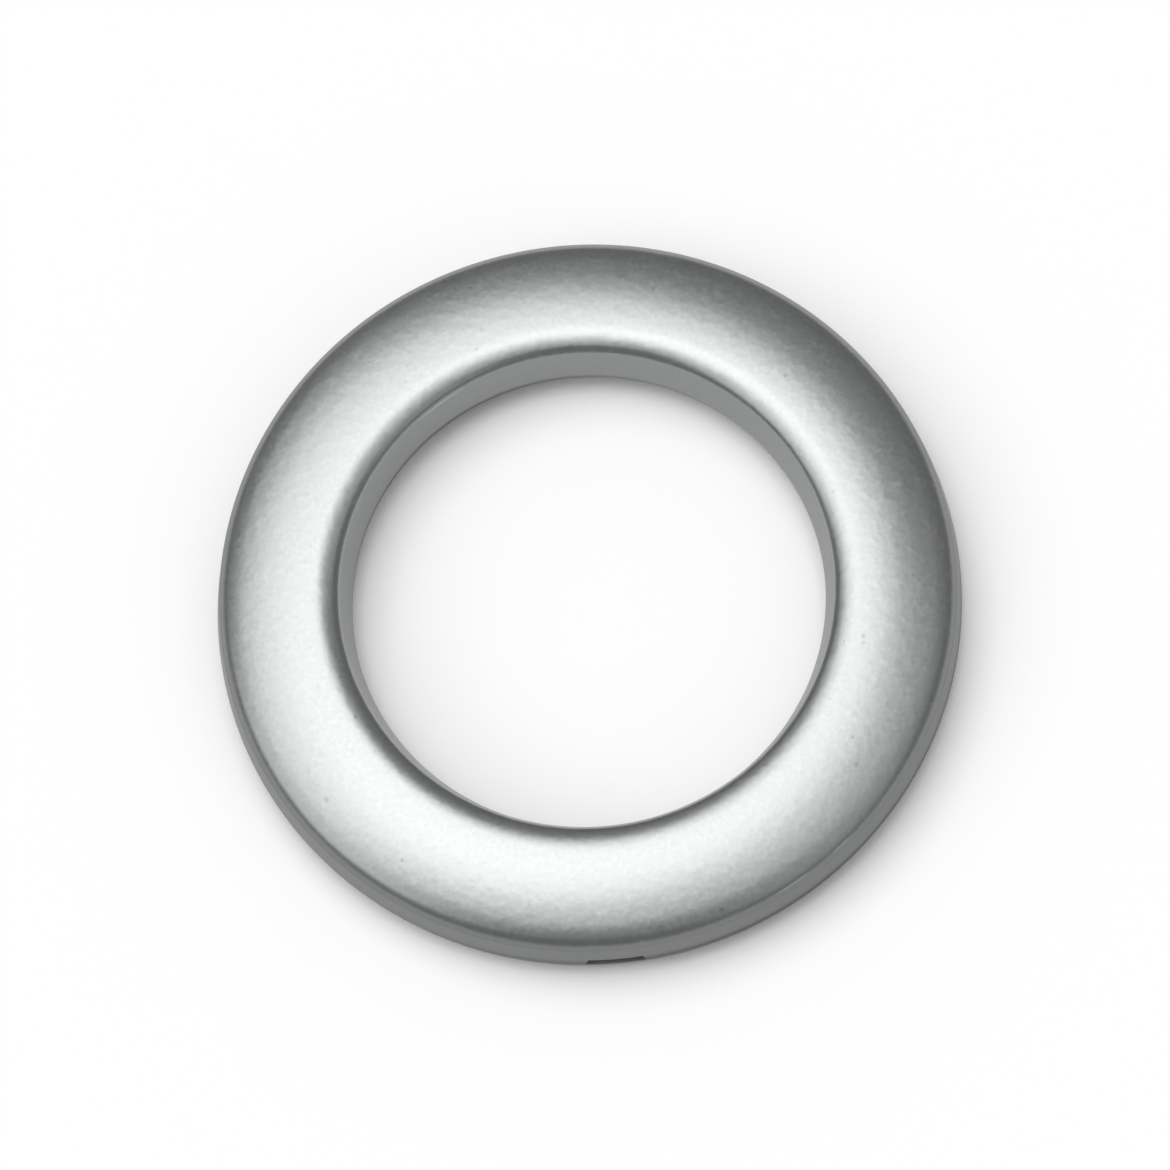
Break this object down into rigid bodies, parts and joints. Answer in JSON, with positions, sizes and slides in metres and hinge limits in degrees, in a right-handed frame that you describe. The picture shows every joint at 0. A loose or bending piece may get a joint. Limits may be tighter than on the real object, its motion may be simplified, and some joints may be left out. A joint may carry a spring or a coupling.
{
  "type": "curtain eyelet",
  "caption": "Two-part snap-together curtain eyelet ring with a crowned satin silver face, a pry notch in its rim and a clawed back ring, for a curtain pole to pass through.",
  "frame": {"origin": "on the axis of the hole, in the plane that the back ring rests on", "axes": "+Z along the axis of the hole, from the back ring to the face; -Y points to the pry notch"},
  "size_m": [0.066, 0.0659, 0.0081],
  "materials": {
    "face_finish": "satin silver coating on moulded plastic",
    "back_finish": "satin silver coating on moulded plastic"
  },
  "bodies": {
    "back": {"back_ring": "back_finish"},
    "front": {"front_ring": "face_finish"}
  },
  "joints": [
    {"name": "snap_apart", "type": "slide", "parent": "back", "child": "front", "axis": [0, 0, 1], "range_m": [0, 0.01]}
  ]
}
